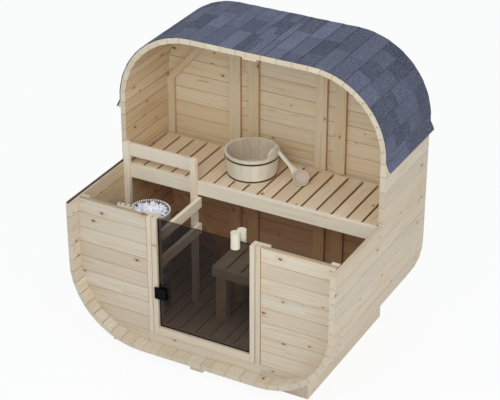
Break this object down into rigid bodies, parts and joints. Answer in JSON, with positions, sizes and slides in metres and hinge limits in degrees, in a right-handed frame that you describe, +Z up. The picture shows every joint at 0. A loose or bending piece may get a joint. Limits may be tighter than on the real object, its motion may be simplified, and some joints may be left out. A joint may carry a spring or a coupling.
{
  "type": "cutaway barrel sauna",
  "caption": "Garden sauna cabin of wooden staves with a rounded square section, upper front cut away to show benches and heater, shingle roof at the back and a hinged glass door.",
  "frame": {"origin": "on the ground, under the middle of the barrel", "axes": "+X to the right seen from the door, +Y from the door to the back wall, +Z up"},
  "size_m": [2.166, 1.5, 2.235],
  "materials": {
    "spruce": "planed, untreated",
    "shingles": "granular bitumen",
    "door_glass": "bronze tinted",
    "black_steel": "matt black",
    "bright_steel": "brushed",
    "heater_stone": "rough stone"
  },
  "bodies": {
    "cabin": {"floor_staves": "spruce", "left_lower_curve": "spruce", "right_lower_curve": "spruce", "left_lower_wall": "spruce", "right_lower_wall": "spruce", "left_upper_wall": "spruce", "right_upper_wall": "spruce", "left_upper_curve": "spruce", "right_upper_curve": "spruce", "ceiling_staves": "spruce", "left_shingles": "shingles", "top_shingles": "shingles", "right_shingles": "shingles", "eave_fillets": "spruce", "front_wall_left": "spruce", "front_wall_right": "spruce", "front_wall_foot": "spruce", "front_battens": "spruce", "door_jambs": "spruce", "door_trims": "spruce", "door_sill": "spruce", "back_wall_left": "spruce", "back_wall_middle": "spruce", "back_wall_right": "spruce", "back_battens": "spruce", "upper_bench_slats": "spruce", "upper_bench_fascias": "spruce", "upper_bench_bearers": "spruce", "lower_bench_slats": "spruce", "lower_bench_fascias": "spruce", "lower_bench_bearers": "spruce", "lower_bench_legs": "spruce", "guard_posts": "spruce", "guard_rails": "spruce", "heater_cage": "bright_steel", "heater_stones": "heater_stone", "heater_legs": "black_steel", "vent_cover": "spruce", "base_sides": "spruce", "base_saddles": "spruce", "base_runner": "spruce", "hinge_frame_leaf": "black_steel", "bucket_tub": "spruce", "bucket_hoops": "black_steel", "ladle": "spruce"},
    "door": {"door_glass": "door_glass", "hinge_door_leaf": "black_steel", "door_handles": "spruce"}
  },
  "joints": [
    {"name": "door_hinge", "type": "hinge", "parent": "cabin", "child": "door", "pos_m": [-0.365, -0.671, 0.562], "axis": [0, 0, -1], "range_deg": [0, 100]}
  ]
}
